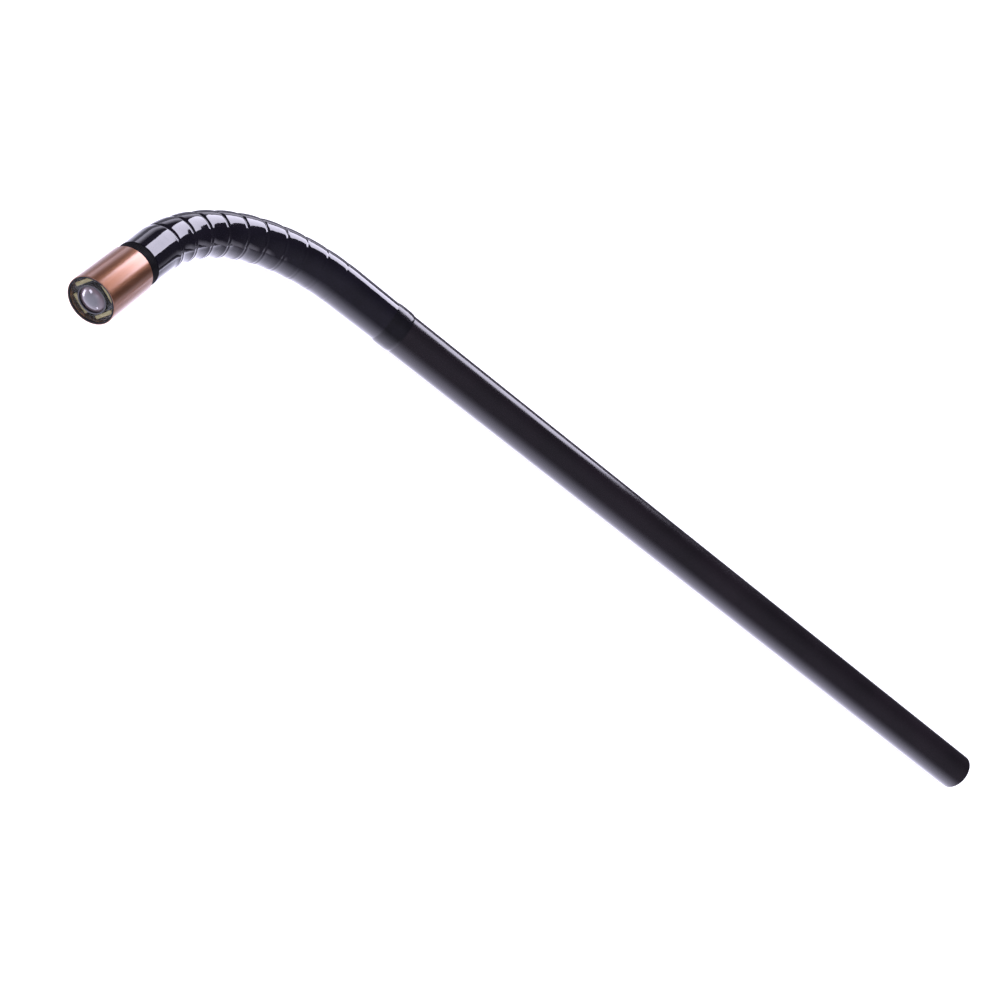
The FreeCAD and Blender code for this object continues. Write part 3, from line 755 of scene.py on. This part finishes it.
def inside_the_bend(tree, place):
    """How far a point of the table lies on the inner side of tube, bend and camera head: the least of
    its distances to the left of their three lines, and below 0 on the outer side."""
    sides = []
    first, middle, last = 0, 5, -1
    for hinge in (first, middle, last):
        along = DIRECTIONS[hinge]
        left = Vector((-along.y, along.x, 0)).normalized()
        away = add(tree, "ShaderNodeVectorMath", {0: place, 1: HINGES[hinge]},
                   operation="SUBTRACT")
        side = add(tree, "ShaderNodeVectorMath", {0: away.outputs["Vector"], 1: left},
                   operation="DOT_PRODUCT")
        sides.append(side.outputs["Value"])
    nearer = add(tree, "ShaderNodeMath", {0: sides[0], 1: sides[1]}, operation="MINIMUM")
    least = add(tree, "ShaderNodeMath", {0: nearer.outputs["Value"], 1: sides[2]},
                operation="MINIMUM")
    return least.outputs["Value"]


def floor():
    """A white table, shown white to the camera. To gloss it shows a painted pool of light, brightest
    close to the object and fading away from it, and painted dark behind the tube. It keeps a faint
    shadow."""
    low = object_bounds()[0].z
    clear_selection()
    bpy.ops.mesh.primitive_plane_add(size=TABLE_SIZE, location=(0, 0, low))
    thing = bpy.context.object
    thing.name = "table"
    made = bpy.data.materials.new("white_table")
    made.use_nodes = True
    tree = made.node_tree
    tree.nodes.clear()
    rays = add(tree, "ShaderNodeLightPath")
    place = add(tree, "ShaderNodeNewGeometry").outputs["Position"]
    away = inside_the_bend(tree, place)
    reach = add(tree, "ShaderNodeMath", {0: away, 1: TABLE_REACH}, operation="DIVIDE")
    fall = add(tree, "ShaderNodeMath", {
        0: reach.outputs["Value"], 1: reach.outputs["Value"], 2: 1.0,
    }, operation="MULTIPLY_ADD")
    near = add(tree, "ShaderNodeMath", {0: TABLE_PAINTED_POOL, 1: fall.outputs["Value"]},
               operation="DIVIDE")
    painted_pool_strength = add(tree, "ShaderNodeMath", {0: near.outputs["Value"], 1: TABLE_FAR}, operation="ADD")
    across = add(tree, "ShaderNodeSeparateXYZ", {"Vector": place})
    front = add(tree, "ShaderNodeMapRange", {
        "Value": across.outputs["Y"], "From Min": -TABLE_TURN, "From Max": 0.0,
        "To Min": TABLE_PAINTED_DARK_BEHIND, "To Max": painted_pool_strength.outputs["Value"],
    })
    shown = add(tree, "ShaderNodeMath", {
        0: rays.outputs["Is Camera Ray"], 1: rays.outputs["Is Transmission Ray"],
    }, operation="MAXIMUM")
    glow = add(tree, "ShaderNodeMath", {0: shown.outputs["Value"], 1: TABLE_GLOW},
               operation="MULTIPLY")
    paper = add(tree, "ShaderNodeBsdfDiffuse", {"Color": linear("F2F1F4")})
    white = add(tree, "ShaderNodeEmission", {
        "Color": (1, 1, 1, 1), "Strength": glow.outputs["Value"],
    })
    plain = add(tree, "ShaderNodeAddShader", {
        0: paper.outputs["BSDF"], 1: white.outputs["Emission"],
    })
    # Painted pool of light and painted dark behind the tube, which gloss sees on the table.
    painted_pool_glow = add(tree, "ShaderNodeEmission", {
        "Color": linear(TABLE_TINT), "Strength": front.outputs["Result"],
    })
    both = add(tree, "ShaderNodeMixShader", {
        0: rays.outputs["Is Glossy Ray"], 1: plain.outputs["Shader"],
        2: painted_pool_glow.outputs["Emission"],
    })
    add(tree, "ShaderNodeOutputMaterial", {"Surface": both.outputs["Shader"]})
    thing.data.materials.append(made)


def panel(name, centre, towards, distance, size, radiance):
    """A rectangular lamp that faces a place on the object from so far away."""
    data = bpy.data.lights.new(name, "AREA")
    data.shape = "RECTANGLE"
    data.size, data.size_y = size
    data.energy = radiance * math.pi * size[0] * size[1]
    data.color = linear(SOFTBOX_TINT)[:3]
    thing = bpy.data.objects.new(name, data)
    bpy.context.collection.objects.link(thing)
    right = towards.cross(Vector((0, 0, 1))).normalized()
    aim(thing, centre + towards * distance, -towards, right)
    thing.visible_camera = False
    return thing


def direction(azimuth, rise):
    """The direction at an azimuth from +X and a rise over the table."""
    flat = math.cos(rise)
    return Vector((flat * math.cos(azimuth), flat * math.sin(azimuth), math.sin(rise)))


def world():
    """White to the camera. Gloss sees a dark room, a little lighter in front, with low white walls."""
    made = bpy.data.worlds.new("studio")
    bpy.context.scene.world = made
    made.use_nodes = True
    tree = made.node_tree
    tree.nodes.clear()
    rays = add(tree, "ShaderNodeLightPath")
    view = add(tree, "ShaderNodeTexCoord").outputs["Generated"]
    forwards = add(tree, "ShaderNodeVectorMath", {0: view, 1: -direction(SOFTBOX_AZIMUTH, 0)},
                   operation="DOT_PRODUCT")
    room = add(tree, "ShaderNodeMapRange", {
        "Value": forwards.outputs["Value"], "From Min": ROOM_TURN[0], "From Max": ROOM_TURN[1],
        "To Min": ROOM_BEHIND, "To Max": ROOM_IN_FRONT,
    })
    seen = room.outputs["Result"]
    rise = add(tree, "ShaderNodeSeparateXYZ", {"Vector": view}).outputs["Z"]
    low = add(tree, "ShaderNodeMapRange", {
        "Value": rise, "From Min": WALL_RISE[0], "From Max": WALL_RISE[1],
        "To Min": 1.0, "To Max": 0.0,
    })
    for azimuth, brightness in WALLS:
        facing = add(tree, "ShaderNodeVectorMath", {0: view, 1: direction(azimuth, 0)},
                     operation="DOT_PRODUCT")
        middle = add(tree, "ShaderNodeMapRange", {
            "Value": facing.outputs["Value"], "From Min": WALL_EDGE[0], "From Max": WALL_EDGE[1],
            "To Min": 0.0, "To Max": brightness,
        })
        wall = add(tree, "ShaderNodeMath", {
            0: middle.outputs["Result"], 1: low.outputs["Result"], 2: seen,
        }, operation="MULTIPLY_ADD")
        seen = wall.outputs["Value"]
    lit = add(tree, "ShaderNodeMix", {
        "Factor": rays.outputs["Is Glossy Ray"], "A": AMBIENT, "B": seen,
    })
    shown = add(tree, "ShaderNodeMix", {
        "Factor": rays.outputs["Is Camera Ray"], "A": lit.outputs["Result"], "B": 1.0,
    })
    tint = add(tree, "ShaderNodeMixRGB", {
        "Fac": rays.outputs["Is Camera Ray"], "Color1": linear(SOFTBOX_TINT),
        "Color2": (1, 1, 1, 1),
    })
    sky = add(tree, "ShaderNodeBackground", {
        "Color": tint.outputs["Color"], "Strength": shown.outputs["Result"],
    })
    add(tree, "ShaderNodeOutputWorld", {"Surface": sky.outputs["Background"]})


def catch_lights():
    """Small lamps that light only the front lens, each mirrored by its dome at a chosen place."""
    glass = bpy.data.collections.new("front_lens_only")
    bpy.context.scene.collection.children.link(glass)
    glass.objects.link(bpy.data.objects["front_lens_glass"])
    apex = span("front_lens", TIP)[1]
    ball = lens_ball()
    for number, (across, up, size) in enumerate(GLINTS, 1):
        ahead = math.sqrt(ball * ball - (across * across + up * up) * MM * MM)
        normal = Vector((ahead, across * MM, up * MM)) / ball
        place = TIP @ (Vector((apex - ball, 0, 0)) + normal * ball)
        normal = TIP.to_3x3() @ normal
        sight = (place - CAMERA_PLACE).normalized()
        size = (size[0] * MM, size[1] * MM)
        lamp = panel(f"catch_light_{number}", place, sight.reflect(normal), GLINT_DISTANCE, size,
                     GLINT_RADIANCE)
        lamp.data.diffuse_factor = 0
        lamp.light_linking.receiver_collection = glass


def lights():
    panel("softbox", HINGES[-1], direction(SOFTBOX_AZIMUTH, SOFTBOX_RISE), SOFTBOX_DISTANCE,
          SOFTBOX_SIZE, SOFTBOX_RADIANCE)
    fill = panel("fill", HINGES[0], direction(FILL_AZIMUTH, FILL_RISE), FILL_DISTANCE, FILL_SIZE,
                 FILL_RADIANCE)
    fill.visible_glossy = False
    catch_lights()


model()
camera()
floor()
world()
lights()
bpy.context.scene.view_settings.view_transform = "Standard"
